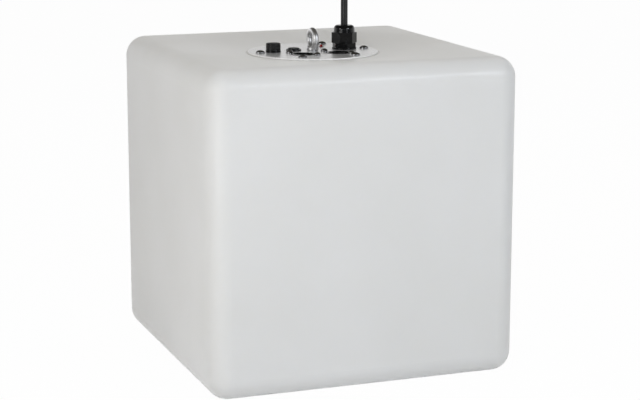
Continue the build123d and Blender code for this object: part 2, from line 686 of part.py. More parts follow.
def fuse_nut():
    nut = hexagon(FUSE_NUT_ACROSS, SEAT_Z - FUSE_NUT_HEIGHT, SEAT_Z, FUSE_AT)
    return nut - rod(FUSE_BARREL_RADIUS + FIT_CLEAR, SEAT_Z - FUSE_NUT_HEIGHT, SEAT_Z, FUSE_AT)


def fuse_cap():
    top = FUSE_CAP_BASE + FUSE_CAP_HEIGHT
    knob = rod(FUSE_CAP_RADIUS, FUSE_CAP_BASE, top)
    knob = fillet(knob.edges().group_by(Axis.Z)[-1], FUSE_CAP_ROUND)
    for spot in on_circle(FUSE_CAP_RADIUS + FUSE_FLUTE_OUT, FUSE_CAP_FLUTES):
        knob -= rod(FUSE_FLUTE_RADIUS, FUSE_CAP_BASE + FUSE_FLUTE_RADIUS, top - FUSE_FLUTE_DROP, spot)
    slot = Box(FUSE_SLOT_LENGTH, FUSE_SLOT_WIDTH, FUSE_SLOT_DEPTH, align=UP)
    knob -= Pos(0, 0, top - FUSE_SLOT_DEPTH) * slot
    plug = rod(FUSE_BORE_RADIUS - SLIDE_CLEAR, FUSE_PLUG_FOOT, FUSE_CAP_BASE)
    plug -= rod(FUSE_END_RADIUS + HOLE_CLEAR, FUSE_PLUG_FOOT, FUSE_PLUG_FOOT + FUSE_PLUG_HOLD)
    return Pos(*FUSE_AT, 0) * (knob + plug)


def fuse_glass():
    low = FUSE_FOOT + FUSE_END_WALL + FIT_CLEAR
    high = FUSE_TOP - FUSE_END_WALL - FIT_CLEAR
    return ring(FUSE_GLASS_RADIUS, FUSE_GLASS_RADIUS - FUSE_GLASS_WALL, low, high, FUSE_AT)


def fuse_end_caps():
    inner = FUSE_GLASS_RADIUS + FIT_CLEAR
    low = rod(FUSE_END_RADIUS, FUSE_FOOT, FUSE_FOOT + FUSE_END_LENGTH, FUSE_AT)
    low -= rod(inner, FUSE_FOOT + FUSE_END_WALL, FUSE_FOOT + FUSE_END_LENGTH, FUSE_AT)
    high = rod(FUSE_END_RADIUS, FUSE_TOP - FUSE_END_LENGTH, FUSE_TOP, FUSE_AT)
    high -= rod(inner, FUSE_TOP - FUSE_END_LENGTH, FUSE_TOP - FUSE_END_WALL, FUSE_AT)
    return group([low, high])


# Mode button: a sprung cap sliding in a closed switch body
def button_body():
    low = SEAT_Z - BUTTON_BARREL_LENGTH
    top = PLATE_TOP + BUTTON_BEZEL_HEIGHT
    bezel = rod(BUTTON_BEZEL_RADIUS, PLATE_TOP, top, BUTTON_AT)
    bezel = fillet(bezel.edges().group_by(Axis.Z)[-1], BUTTON_BEZEL_ROUND)
    body = bezel + rod(BUTTON_BARREL_RADIUS, low, PLATE_TOP, BUTTON_AT)
    well_floor = top + BUTTON_CAP_PROUD - BUTTON_CAP_LENGTH - BUTTON_TRAVEL - SLIDE_CLEAR
    body -= rod(BUTTON_CAP_RADIUS + SLIDE_CLEAR, well_floor, top, BUTTON_AT)
    return body


def button_tags():
    low = SEAT_Z - BUTTON_BARREL_LENGTH
    x, y = BUTTON_AT
    spots = [(x + side * BUTTON_TAG_SPREAD, y) for side in (-1, 1)]
    return group(rod(BUTTON_TAG_RADIUS, low - BUTTON_TAG_LENGTH, low, spot) for spot in spots)


def button_nut():
    nut = hexagon(BUTTON_NUT_ACROSS, SEAT_Z - BUTTON_NUT_HEIGHT, SEAT_Z, BUTTON_AT)
    return nut - rod(BUTTON_BARREL_RADIUS + FIT_CLEAR, SEAT_Z - BUTTON_NUT_HEIGHT, SEAT_Z, BUTTON_AT)


def button_cap():
    top = PLATE_TOP + BUTTON_BEZEL_HEIGHT + BUTTON_CAP_PROUD
    cap = rod(BUTTON_CAP_RADIUS, top - BUTTON_CAP_LENGTH, top, BUTTON_AT)
    return fillet(cap.edges().group_by(Axis.Z)[-1], BUTTON_CAP_ROUND)


# Status light: a domed lens in a bezel
def status_bezel():
    bezel = rod(STATUS_BEZEL_RADIUS, PLATE_TOP, PLATE_TOP + STATUS_BEZEL_HEIGHT, STATUS_AT)
    bezel = fillet(bezel.edges().group_by(Axis.Z)[-1], STATUS_BEZEL_ROUND)
    bezel += rod(STATUS_BARREL_RADIUS, SEAT_Z - STATUS_BARREL_LENGTH, PLATE_TOP, STATUS_AT)
    low = SEAT_Z - STATUS_BARREL_LENGTH
    return bezel - rod(STATUS_LENS_RADIUS + FIT_CLEAR, low, PLATE_TOP + STATUS_BEZEL_HEIGHT, STATUS_AT)


def status_lens():
    shoulder = PLATE_TOP + STATUS_BEZEL_HEIGHT + STATUS_LENS_PROUD
    lens = rod(STATUS_LENS_RADIUS, SEAT_Z - STATUS_BARREL_LENGTH, shoulder, STATUS_AT)
    return lens + Pos(*STATUS_AT, shoulder) * Sphere(STATUS_LENS_RADIUS)


def status_nut():
    nut = hexagon(STATUS_NUT_ACROSS, SEAT_Z - STATUS_NUT_HEIGHT, SEAT_Z, STATUS_AT)
    return nut - rod(STATUS_BARREL_RADIUS + FIT_CLEAR, SEAT_Z - STATUS_NUT_HEIGHT, SEAT_Z, STATUS_AT)


# Bracket: a strip folded from one sheet, clamped under the plate by the lifting eye
def along_y(shape, x, y, z):
    # Turns a screw made on z = 0 so that its head sits on the plane y and its shank runs towards -Y
    return Pos(x, y, z) * Rot(-90, 0, 0) * shape


def hole_y(radius, x, z, front, back):
    return Pos(x, front, z) * Rot(-90, 0, 0) * Cylinder(radius, back - front, align=UP)


def supply_screw_levels():
    return [SUPPLY_FLOOR + SUPPLY_SCREW_INSET, SUPPLY_FLOOR + SUPPLY_HEIGHT - SUPPLY_SCREW_INSET]


def post_screw_spots():
    return [(side * POST_SCREW_SPREAD, POST_TOP - POST_SCREW_DROP) for side in (-1, 1)]


def board_hole_spots():
    x = BOARD_WIDTH / 2 - BOARD_HOLE_INSET
    low = BOARD_FLOOR + BOARD_HOLE_INSET
    high = BOARD_FLOOR + BOARD_HEIGHT - BOARD_HOLE_INSET
    return [(side * x, z) for side in (-1, 1) for z in (low, high)]


def chassis_bracket():
    strip_front = EYE_AT[1] - BRACKET_FRONT
    half_neck = BRACKET_NECK_WIDTH / 2
    bend = fillet(
        block((-half_neck, strip_front, BRACKET_FOOT), (half_neck, WEB_BACK, SEAT_Z))
        .edges().filter_by(Axis.X).group_by(Axis.Z)[-1].sort_by(Axis.Y)[-1],
        BRACKET_BEND,
    )
    neck = bend - block((-half_neck, strip_front, BRACKET_FOOT), (half_neck, BRACKET_WEB_AT, BRACKET_Z))
    half_web = BRACKET_WEB_WIDTH / 2
    web_top = SEAT_Z - BRACKET_NECK_DROP
    web = block((-half_web, BRACKET_WEB_AT, BRACKET_FOOT), (half_web, WEB_BACK, web_top))
    bracket = neck + web
    bracket -= rod(EYE_SHANK_RADIUS + HOLE_CLEAR, BRACKET_Z, SEAT_Z, EYE_AT)
    for z in supply_screw_levels():
        bracket -= hole_y(M3_RADIUS + HOLE_CLEAR, 0, z, BRACKET_WEB_AT, WEB_BACK)
    for x, z in post_screw_spots():
        bracket -= hole_y(M4_RADIUS + FIT_CLEAR, x, z, BRACKET_WEB_AT, WEB_BACK)
    for x, z in board_hole_spots():
        bracket -= hole_y(M3_RADIUS + FIT_CLEAR, x, z, BRACKET_WEB_AT, WEB_BACK)
    return bracket


# Power supply, screwed to the bracket from behind
def power_supply():
    front = BRACKET_WEB_AT - SUPPLY_DEPTH
    case = block(
        (-SUPPLY_WIDTH / 2, front, SUPPLY_FLOOR),
        (SUPPLY_WIDTH / 2, BRACKET_WEB_AT, SUPPLY_FLOOR + SUPPLY_HEIGHT),
    )
    case = fillet(case.edges().filter_by(Axis.Z), SUPPLY_CORNER)
    for z in supply_screw_levels():
        case -= hole_y(M3_RADIUS + FIT_CLEAR, 0, z, BRACKET_WEB_AT - SUPPLY_SCREW_GRIP, BRACKET_WEB_AT)
    return case


def supply_screws():
    grip = BRACKET_THICK + SUPPLY_SCREW_GRIP - 2 * HOLE_CLEAR
    one = screw(M3_HEAD_RADIUS, M3_HEAD_HEIGHT, M3_RADIUS, grip)
    return group(along_y(one, 0, WEB_BACK, z) for z in supply_screw_levels())


# Control board on standoffs behind the bracket
def board_standoffs():
    pillars = []
    for x, z in board_hole_spots():
        pillar = Pos(x, WEB_BACK, z) * Rot(-90, 0, 0) * hexagon(STANDOFF_ACROSS, 0, STANDOFF_LENGTH)
        pillar -= hole_y(M3_RADIUS + FIT_CLEAR, x, z, WEB_BACK + BRACKET_THICK, BOARD_FRONT)
        pillars.append(pillar + hole_y(M3_RADIUS, x, z, BRACKET_WEB_AT + HOLE_CLEAR, WEB_BACK))
    return group(pillars)


def control_board():
    half = BOARD_WIDTH / 2
    board = block((-half, BOARD_FRONT, BOARD_FLOOR), (half, BOARD_BACK, BOARD_FLOOR + BOARD_HEIGHT))
    for x, z in board_hole_spots():
        board -= hole_y(M3_RADIUS + HOLE_CLEAR, x, z, BOARD_FRONT, BOARD_BACK)
    return board


def board_screws():
    grip = BOARD_THICK + STANDOFF_LENGTH - BRACKET_THICK - 2 * HOLE_CLEAR
    one = screw(M3_HEAD_RADIUS, M3_HEAD_HEIGHT, M3_RADIUS, grip)
    return group(along_y(one, x, BOARD_BACK, z) for x, z in board_hole_spots())


def plug_block(side):
    wide, deep, tall = PLUG_BLOCK
    outer = BOARD_WIDTH / 2 + PLUG_BLOCK_OVERHANG
    low = BOARD_FLOOR + PLUG_BLOCK_RISE
    x = sorted((side * outer, side * (outer - wide)))
    return block((x[0], BOARD_BACK, low), (x[1], BOARD_BACK + deep, low + tall))


def board_parts():
    middle = BOARD_FLOOR + BOARD_HEIGHT / 2
    wide, deep, tall = CHIP
    chip = block((-wide / 2, BOARD_BACK, middle - tall / 2), (wide / 2, BOARD_BACK + deep, middle + tall / 2))
    wide, deep, tall = LED_BLOCK
    outlet = block((-wide / 2, BOARD_BACK, BOARD_FLOOR), (wide / 2, BOARD_BACK + deep, BOARD_FLOOR + tall))
    low = BOARD_FLOOR + BOARD_HEIGHT / 4
    back = BOARD_BACK + CAPACITOR_LENGTH
    capacitors = [hole_y(CAPACITOR_RADIUS, side * BOARD_WIDTH / 4, low, BOARD_BACK, back) for side in (-1, 1)]
    return group([plug_block(-1), plug_block(1), chip, outlet, *capacitors])


# Light engine: a square post with a row of emitters on each side, hung from the bracket's foot
def led_post():
    half = POST_WIDTH / 2
    outer = extrude(RectangleRounded(POST_WIDTH, POST_WIDTH, POST_CORNER), POST_TOP - POST_FLOOR)
    inside = POST_WIDTH - 2 * POST_WALL
    post = Pos(0, 0, POST_FLOOR) * (outer - extrude(Rectangle(inside, inside), POST_TOP - POST_FLOOR))
    for x, z in post_screw_spots():
        post -= hole_y(M4_RADIUS + HOLE_CLEAR, x, z, half - POST_WALL, half)
    for turn, z in led_screw_places():
        post -= Rot(0, 0, turn) * hole_y(M3_RADIUS + FIT_CLEAR, 0, z, half - POST_WALL, half)
    return post


def post_screws():
    grip = POST_WALL + BRACKET_THICK
    one = screw(M4_HEAD_RADIUS, M4_HEAD_HEIGHT, M4_RADIUS, grip)
    return group(along_y(one, x, POST_WIDTH / 2, z) for x, z in post_screw_spots())


def led_screw_places():
    low = LED_BOARD_FLOOR + LED_SCREW_INSET
    high = LED_BOARD_TOP - LED_SCREW_INSET
    return [(turn, z) for turn in (0, 90, 180, 270) for z in (low, high)]


def led_boards():
    face = POST_WIDTH / 2
    half = LED_BOARD_WIDTH / 2
    back = face + LED_BOARD_THICK
    one = block((-half, face, LED_BOARD_FLOOR), (half, back, LED_BOARD_TOP))
    for turn, z in led_screw_places()[:2]:
        one -= hole_y(M3_RADIUS + HOLE_CLEAR, 0, z, face, back)
    return group(Rot(0, 0, turn) * one for turn in (0, 90, 180, 270))


def led_board_screws():
    face = POST_WIDTH / 2 + LED_BOARD_THICK
    one = screw(M3_HEAD_RADIUS, M3_HEAD_HEIGHT, M3_RADIUS, LED_BOARD_THICK + POST_WALL)
    return group(Rot(0, 0, turn) * along_y(one, 0, face, z) for turn, z in led_screw_places())


def led_emitters():
    face = POST_WIDTH / 2 + LED_BOARD_THICK
    middle = LED_BOARD_FLOOR + LED_BOARD_HEIGHT / 2
    half = LED_SIZE / 2
    chips = []
    for column in range(LED_COLUMNS):
        for row in range(LED_ROWS):
            x = (column - (LED_COLUMNS - 1) / 2) * LED_PITCH_ACROSS
            z = middle + (row - (LED_ROWS - 1) / 2) * LED_PITCH_UP
            chips.append(block((x - half, face, z - half), (x + half, face + LED_THICK, z + half)))
    return group(Rot(0, 0, turn) * chip for turn in (0, 90, 180, 270) for chip in chips)


# Leads inside: mains to the supply, signal to the board, power to the light engine
def mains_lead():
    entry = SUPPLY_FLOOR + SUPPLY_HEIGHT - SUPPLY_INLET_DROP
    x, y = GLAND_AT
    corners = [(x, y, GLAND_TOP), (x, y, entry), (SUPPLY_WIDTH / 2, y, entry)]
    path = FilletPolyline(*corners, radius=MAINS_LEAD_BEND)
    return tube(path, CABLE_RADIUS)


def signal_leads():
    leads = []
    block_z = BOARD_FLOOR + PLUG_BLOCK_RISE + PLUG_BLOCK[2] / 2
    block_y = BOARD_BACK + PLUG_BLOCK[1] / 2
    block_x = BOARD_WIDTH / 2 + PLUG_BLOCK_OVERHANG
    top = SOCKET_BACK - SOCKET_TAIL_LENGTH
    for side, (x, y) in ((-1, DMX_IN_AT), (1, DMX_OUT_AT)):
        path = FilletPolyline(
            (x, y, top),
            (x, y, top - SIGNAL_LEAD_DROP),
            (side * SIGNAL_LEAD_SWING, y, block_z),
            (side * SIGNAL_LEAD_SWING, block_y, block_z),
            (side * block_x, block_y, block_z),
            radius=SIGNAL_LEAD_BEND,
        )
        leads.append(tube(path, SIGNAL_LEAD_RADIUS))
    return group(leads)


def led_lead():
    y = BOARD_BACK + LED_BLOCK[1] / 2
    face = POST_WIDTH / 2 + LED_BOARD_THICK
    z = LED_BOARD_TOP - 2 * LED_SCREW_INSET
    x = LED_BLOCK[0] / 2 - LED_LEAD_RADIUS
    path = FilletPolyline((x, y, BOARD_FLOOR), (x, y, z), (x, face, z), radius=LED_LEAD_BEND)
    return tube(path, LED_LEAD_RADIUS)


# Mains cable: up out of the gland, over the back edge of the cube and down behind it to the floor
COIL_LOW = CABLE_RADIUS + COIL_LIFT
COIL_HIGH = COIL_LOW + COIL_PITCH
CABLE_END = (COIL_AT[0] + 2 * CABLE_RADIUS, COIL_AT[1] - COIL_RADIUS, COIL_LOW)
CABLE_ROUTE = [
    (*GLAND_AT, GLAND_TOP),
    (*GLAND_AT, 380.0),
    (49.8, 45.1, 424.0),
    (71.4, 101.1, 427.0),
    (88.0, 144.0, 380.0),
    (97.0, 167.5, 312.0),
    (98.8, 172.0, 240.0),
    (99.5, 170.5, 168.0),
    (97.0, 168.0, 98.0),
    (90.0, 168.0, 46.0),
    (73.0, 168.5, 18.0),
    (48.0, 168.5, COIL_LOW),
    (22.0, CABLE_END[1], COIL_LOW),
    CABLE_END,
]
TAIL_START = (COIL_AT[0] + 2 * CABLE_RADIUS, COIL_AT[1] + COIL_RADIUS, COIL_HIGH)
PLUG_AXIS_Z = PLUG_FACE_RADIUS + FLOOR_CLEAR
TAIL_ROUTE = [
    TAIL_START,
    (16.0, TAIL_START[1], COIL_HIGH),
    (40.0, TAIL_START[1], PLUG_AXIS_Z),
    (PLUG_AT_X, TAIL_START[1], PLUG_AXIS_Z),
]


def routed(points, name):
    # Each corner's arc is as large as its two runs allow
    runs = [Vector(*b) - Vector(*a) for a, b in zip(points, points[1:])]
    radii = []
    for a, b in zip(runs, runs[1:]):
        half_turn = radians(a.get_angle(b)) / 2
        radii.append(CABLE_ARC_SHARE * min(a.length, b.length) / tan(half_turn))
    path = FilletPolyline(*points, radius=radii)
    print(name, "runs", [round(run.length) for run in runs], "radii", [round(r) for r in radii])
    solid = tube(path, CABLE_RADIUS)
    share = solid.volume / (pi * CABLE_RADIUS**2 * path.length)
    print(name, "length", round(path.length, 1), "volume share", round(share, 4))
    return solid


def mains_cable():
    return routed(CABLE_ROUTE, "mains cable")


def mains_cable_tail():
    return routed(TAIL_ROUTE, "mains cable tail")


def coil_turns():
    # Half turns along the Y axis through the coil's middle: in on the floor, up a layer, and out again on top
    half_pitch = COIL_PITCH / 2
    last = COIL_HALF_TURNS_IN
    stops = [(COIL_RADIUS - k * half_pitch, COIL_LOW) for k in range(last + 1)]
    stops.append((COIL_RADIUS - (last + 1) * half_pitch, COIL_HIGH))
    stops += [(COIL_RADIUS - k * half_pitch, COIL_HIGH) for k in range(last - 1, -1, -1)]
    sign = [-1 if k % 2 == 0 else 1 for k in range(len(stops))]
    x, y = COIL_AT
    points = [Vector(x, y + s * r, z) for s, (r, z) in zip(sign, stops)]
    heading = [Vector(s, 0, 0) for s in sign]
    turns = []
    for a, b, way in zip(points, points[1:], heading):
        middle = (a + b) / 2 + way * ((b - a).length / 2)
        turns.append(ThreePointArc(a, middle, b))
    return points, heading, turns


def mains_cable_coil():
    points, heading, turns = coil_turns()
    stub = 2 * CABLE_RADIUS
    lead_in = Line(points[0] - heading[0] * stub, points[0])
    lead_out = Line(points[-1], points[-1] + heading[-1] * stub)
    path = Wire([lead_in, *turns, lead_out])
    per_turn = 40
    spots = [turn @ (i / per_turn) for turn in turns for i in range(per_turn)]
    near = min((a - b).length for i, a in enumerate(spots) for b in spots[i + per_turn:])
    print("coil length", round(path.length, 1), "least gap to itself", round(near - 2 * CABLE_RADIUS, 2))
    return tube(path, CABLE_RADIUS)


def coil_tie():
    # Band round the bundle of turns, on the coil's left side
    reach = CABLE_RADIUS + TIE_CLEAR
    inner = COIL_RADIUS - (COIL_HALF_TURNS_IN + 0.5) * COIL_PITCH / 2 - reach
    outer = COIL_RADIUS - COIL_PITCH / 4 + reach
    low = COIL_LOW - reach
    high = COIL_HIGH + reach
    half = TIE_WIDTH / 2
    x, y = COIL_AT
    space = block((x - outer, y - half, low), (x - inner, y + half, high))
    wrap = block(
        (x - outer - TIE_THICK, y - half, low - TIE_THICK),
        (x - inner + TIE_THICK, y + half, high + TIE_THICK),
    )
    band = fillet(wrap.edges().filter_by(Axis.Y), TIE_ROUND) - space
    side = x - outer - TIE_THICK
    middle = (low + high) / 2
    out, wide, tall = TIE_HEAD
    head = block((side - out, y - wide / 2, middle - tall / 2), (side, y + wide / 2, middle + tall / 2))
    head = fillet(head.edges().group_by(Axis.X)[0], TIE_ROUND)
    tail_x = side - out / 2
    tail = block(
        (tail_x - TIE_THICK / 2, y - half / 2, middle),
        (tail_x + TIE_THICK / 2, y + half / 2, middle + tall / 2 + TIE_TAIL),
    )
    return band + head + tail


# Mains plug: round moulded body with a ribbed strain relief, lying beside the coil
def lying(shape):
    return Pos(PLUG_AT_X, TAIL_START[1], PLUG_AXIS_Z) * Rot(0, 90, 0) * shape


def mains_plug():
    neck = PLUG_RELIEF_LENGTH
    grip = neck + PLUG_GRIP_LENGTH
    face = grip + PLUG_FACE_LENGTH
    rim = PLUG_FACE_RADIUS
    waist = (PLUG_GRIP_RADIUS + PLUG_GRIP_FLARE, grip - PLUG_SHOULDER)
    bulge = (rim - PLUG_BULGE[0], grip - PLUG_BULGE[1])
    edge = (rim, grip + PLUG_RIM_AT)
    body = spun(
        Polyline(
            (0, 0),
            (CABLE_RADIUS + PLUG_RELIEF_WALL, 0),
            (PLUG_RELIEF_RADIUS, neck),
            (PLUG_GRIP_RADIUS, neck + PLUG_SHOULDER),
            waist,
        ),
        ThreePointArc(waist, bulge, edge),
        Polyline(edge, (rim, face), (0, face), (0, 0)),
    )
    pitch = neck / (PLUG_RELIEF_GROOVES + 1)
    floor = CABLE_RADIUS + PLUG_GROOVE_WALL
    for k in range(PLUG_RELIEF_GROOVES):
        middle = (k + 1) * pitch
        body -= ring(PLUG_RELIEF_RADIUS, floor, middle - PLUG_GROOVE_HALF, middle + PLUG_GROOVE_HALF)
    key = Pos(0, 0, grip + PLUG_KEY_AT) * Box(PLUG_KEY_WIDTH, PLUG_KEY_DEPTH, PLUG_FACE_LENGTH, align=UP)
    for side in (-1, 1):
        body -= Pos(0, side * (rim - PLUG_KEY_DEPTH / 2), 0) * key
        body -= rod(PLUG_PIN_RADIUS + FIT_CLEAR, grip, face, (side * PLUG_PIN_SPREAD / 2, 0))
    return lying(body)


def plug_pins():
    grip = PLUG_RELIEF_LENGTH + PLUG_GRIP_LENGTH
    tip = grip + PLUG_FACE_LENGTH + PLUG_PIN_LENGTH
    pins = [rod(PLUG_PIN_RADIUS, grip, tip, (side * PLUG_PIN_SPREAD / 2, 0)) for side in (-1, 1)]
    return group(lying(fillet(pin.edges().group_by(Axis.Z)[-1], PLUG_PIN_ROUND)) for pin in pins)


PIECES = [
    cube_shell, threaded_inserts, plate_gasket, control_plate, plate_screws,
    eye_bolt, eye_washer, eye_nut,
    gland_washer, gland_body, gland_seal, gland_dome_nut, gland_locknut,
    dmx_in_socket, dmx_in_pins, dmx_out_socket, dmx_out_core, dmx_out_contacts, dmx_latch,
    socket_screws, socket_nuts,
    fuse_holder_body, fuse_contact, fuse_nut, fuse_cap, fuse_glass, fuse_end_caps,
    button_body, button_tags, button_nut, button_cap,
    status_bezel, status_lens, status_nut,
    chassis_bracket, power_supply, supply_screws,
    board_standoffs, control_board, board_screws, board_parts,
    led_post, post_screws, led_boards, led_board_screws, led_emitters,
    mains_lead, signal_leads, led_lead,
    mains_cable, mains_cable_tail, mains_cable_coil, coil_tie, mains_plug, plug_pins,
]

os.makedirs("parts", exist_ok=True)
for piece in PIECES:
    export_step(piece(), f"parts/{piece.__name__}.step")
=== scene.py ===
from math import cos, pi, radians, sin

import bpy
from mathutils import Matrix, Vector


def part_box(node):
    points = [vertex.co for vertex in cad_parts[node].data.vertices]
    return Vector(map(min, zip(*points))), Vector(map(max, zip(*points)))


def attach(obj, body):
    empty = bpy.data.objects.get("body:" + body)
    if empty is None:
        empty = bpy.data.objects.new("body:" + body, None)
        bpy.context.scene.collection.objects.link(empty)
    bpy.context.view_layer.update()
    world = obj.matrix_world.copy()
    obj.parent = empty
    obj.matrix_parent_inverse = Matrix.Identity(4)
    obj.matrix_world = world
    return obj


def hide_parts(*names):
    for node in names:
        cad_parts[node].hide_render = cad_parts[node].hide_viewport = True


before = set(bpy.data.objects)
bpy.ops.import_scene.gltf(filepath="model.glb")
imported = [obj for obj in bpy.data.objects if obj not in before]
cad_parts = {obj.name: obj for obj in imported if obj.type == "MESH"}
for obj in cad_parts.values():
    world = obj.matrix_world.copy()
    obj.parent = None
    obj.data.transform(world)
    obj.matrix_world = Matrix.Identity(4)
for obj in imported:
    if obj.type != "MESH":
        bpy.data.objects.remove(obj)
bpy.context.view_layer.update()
bpy.ops.object.select_all(action="DESELECT")


# Cube shell: one rotation-moulded box of milky polyethylene, 4 mm thick, which glows when lit from inside.
# The mould leaves its faces a little wavy and its skin softly glossy, with a fine peel, and its top duller.
# A thin grey ring where the dish meets the plate's seat is painted shade, standing for the shadow in the gap
# under the plate's edge.
shell_milk = (0.80, 0.80, 0.795)
shell_shade = (0.78, 0.78, 0.77)
polish_end = 0.291
crown_start = 0.297
seat_shade_lowest = 0.25
seat_shade_inside = 0.0630
seat_shade_outside = 0.0652
seat_shade_grey = (0.56, 0.55, 0.53, 1)


def grain_group():
    # Soft patches of colour and gloss over a fine grain, for every moulded, cast or coated surface
    group = bpy.data.node_groups.new("surface grain", "ShaderNodeTree")
    sockets = [
        ("Light", "NodeSocketColor", "INPUT"),
        ("Dark", "NodeSocketColor", "INPUT"),
        ("Patch Scale", "NodeSocketFloat", "INPUT"),
        ("Rough Low", "NodeSocketFloat", "INPUT"),
        ("Rough High", "NodeSocketFloat", "INPUT"),
        ("Grain Scale", "NodeSocketFloat", "INPUT"),
        ("Color", "NodeSocketColor", "OUTPUT"),
        ("Roughness", "NodeSocketFloat", "OUTPUT"),
        ("Height", "NodeSocketFloat", "OUTPUT"),
    ]
    for name, kind, way in sockets:
        group.interface.new_socket(name, in_out=way, socket_type=kind)
    nodes = group.nodes
    link = group.links.new
    given = nodes.new("NodeGroupInput")
    result = nodes.new("NodeGroupOutput")
    place = nodes.new("ShaderNodeTexCoord")
    patches = nodes.new("ShaderNodeTexNoise")
    patches.inputs["Detail"].default_value = 4
    link(place.outputs["Object"], patches.inputs["Vector"])
    link(given.outputs["Patch Scale"], patches.inputs["Scale"])
    spread = nodes.new("ShaderNodeMapRange")
    spread.inputs["From Min"].default_value = 0.35
    spread.inputs["From Max"].default_value = 0.65
    link(patches.outputs["Fac"], spread.inputs["Value"])
    tint = nodes.new("ShaderNodeMix")
    tint.data_type = "RGBA"
    link(spread.outputs["Result"], tint.inputs["Factor"])
    link(given.outputs["Light"], tint.inputs["A"])
    link(given.outputs["Dark"], tint.inputs["B"])
    gloss = nodes.new("ShaderNodeMapRange")
    link(spread.outputs["Result"], gloss.inputs["Value"])
    link(given.outputs["Rough Low"], gloss.inputs["To Min"])
    link(given.outputs["Rough High"], gloss.inputs["To Max"])
    grain = nodes.new("ShaderNodeTexNoise")
    grain.inputs["Detail"].default_value = 3
    link(place.outputs["Object"], grain.inputs["Vector"])
    link(given.outputs["Grain Scale"], grain.inputs["Scale"])
    link(tint.outputs["Result"], result.inputs["Color"])
    link(gloss.outputs["Result"], result.inputs["Roughness"])
    link(grain.outputs["Fac"], result.inputs["Height"])
    return group


surface_grain = grain_group()


def add_skin(tree, values):
    # The shared grain as a node of one finish, with that finish's own values for the inputs it uses
    skin = tree.nodes.new("ShaderNodeGroup")
    skin.name = "skin"
    skin.node_tree = surface_grain
    for name, value in values.items():
        skin.inputs[name].default_value = value
    return skin


def grained(name, light, dark, rough, patch, grain, bump, metallic=0.0, specular=0.5):
    # A finish from the shared grain: rough is its lowest and highest roughness, bump its depth in metres,
    # and patch and grain say how many patches and grains there are to a metre
    finish = bpy.data.materials.new(name)
    finish.use_nodes = True
    tree = finish.node_tree
    link = tree.links.new
    shader = tree.nodes["Principled BSDF"]
    shader.inputs["Metallic"].default_value = metallic
    shader.inputs["Specular IOR Level"].default_value = specular
    values = {
        "Light": (*light, 1),
        "Dark": (*dark, 1),
        "Patch Scale": patch,
        "Rough Low": rough[0],
        "Rough High": rough[1],
        "Grain Scale": grain,
    }
    skin = add_skin(tree, values)
    relief = tree.nodes.new("ShaderNodeBump")
    relief.name = "relief"
    relief.inputs["Distance"].default_value = bump
    link(skin.outputs["Color"], shader.inputs["Base Color"])
    link(skin.outputs["Roughness"], shader.inputs["Roughness"])
    link(skin.outputs["Height"], relief.inputs["Height"])
    link(relief.outputs["Normal"], shader.inputs["Normal"])
    return finish


milky_skin = grained(
    "milky polyethylene",
    light=shell_milk,
    dark=shell_shade,
    rough=(0.4, 0.48),
    patch=9,
    grain=420,
    bump=0.00003,
    specular=0.3,
)
milky = milky_skin.node_tree
milky_shader = milky.nodes["Principled BSDF"]
milky_shader.inputs["Subsurface Weight"].default_value = 0.2
milky_shader.inputs["Subsurface Radius"].default_value = (1.0, 0.95, 0.85)
milky_shader.inputs["Subsurface Scale"].default_value = 0.01
milky_shader.inputs["Coat Roughness"].default_value = 0.06


def place_on(tree):
    # Where a point of the surface is, in metres in the part's own frame
    return tree.nodes.new("ShaderNodeTexCoord").outputs["Object"]


mould_waves = milky.nodes.new("ShaderNodeTexNoise")
mould_waves.inputs["Scale"].default_value = 14
mould_waves.inputs["Detail"].default_value = 1
mould_relief = milky.nodes.new("ShaderNodeBump")
mould_relief.inputs["Distance"].default_value = 0.0004
milky.links.new(place_on(milky), mould_waves.inputs["Vector"])
milky.links.new(mould_waves.outputs["Fac"], mould_relief.inputs["Height"])
milky.links.new(mould_relief.outputs["Normal"], milky.nodes["relief"].inputs["Normal"])
milky.links.new(mould_relief.outputs["Normal"], milky_shader.inputs["Coat Normal"])


def height_of(tree):
    # How high a point of the surface is above the floor
    split = tree.nodes.new("ShaderNodeSeparateXYZ")
    tree.links.new(place_on(tree), split.inputs["Vector"])
    return split.outputs["Z"]


def ramp(tree, measure, start, end, low=0.0, high=1.0):
    # Goes evenly from low to high while a measure goes from start to end, and stays there beyond them
    slope = tree.nodes.new("ShaderNodeMapRange")
    slope.inputs["From Min"].default_value = start
    slope.inputs["From Max"].default_value = end
    slope.inputs["To Min"].default_value = low
    slope.inputs["To Max"].default_value = high
    tree.links.new(measure, slope.inputs["Value"])
    return slope.outputs["Result"]


shell_height = height_of(milky)
shell_polish = ramp(milky, shell_height, polish_end, crown_start, low=0.12, high=0.03)
milky.links.new(shell_polish, milky_shader.inputs["Coat Weight"])


def reach_of(tree):
    # How far a point of the surface is from the upright line through the middle of the cube
    flat = tree.nodes.new("ShaderNodeVectorMath")
    flat.operation = "MULTIPLY"
    flat.inputs[1].default_value = (1, 1, 0)
    reach = tree.nodes.new("ShaderNodeVectorMath")
    reach.operation = "LENGTH"
    tree.links.new(place_on(tree), flat.inputs[0])
    tree.links.new(flat.outputs["Vector"], reach.inputs[0])
    return reach.outputs["Value"]


def feed(tree, given, socket):
    # Gives a node's socket either the output of another node or a plain value
    if isinstance(given, bpy.types.NodeSocket):
        tree.links.new(given, socket)
    else:
        socket.default_value = given


def reckon(tree, operation, first, second):
    # One number worked out from two
    step = tree.nodes.new("ShaderNodeMath")
    step.operation = operation
    feed(tree, first, step.inputs[0])
    feed(tree, second, step.inputs[1])
    return step.outputs["Value"]


def mixed(tree, share, first, second, kind="RGBA"):
    # First where the share is 0, second where it is 1
    blend = tree.nodes.new("ShaderNodeMix")
    blend.data_type = kind
    feed(tree, share, blend.inputs["Factor"])
    feed(tree, first, blend.inputs["A"])
    feed(tree, second, blend.inputs["B"])
    return blend.outputs["Result"]
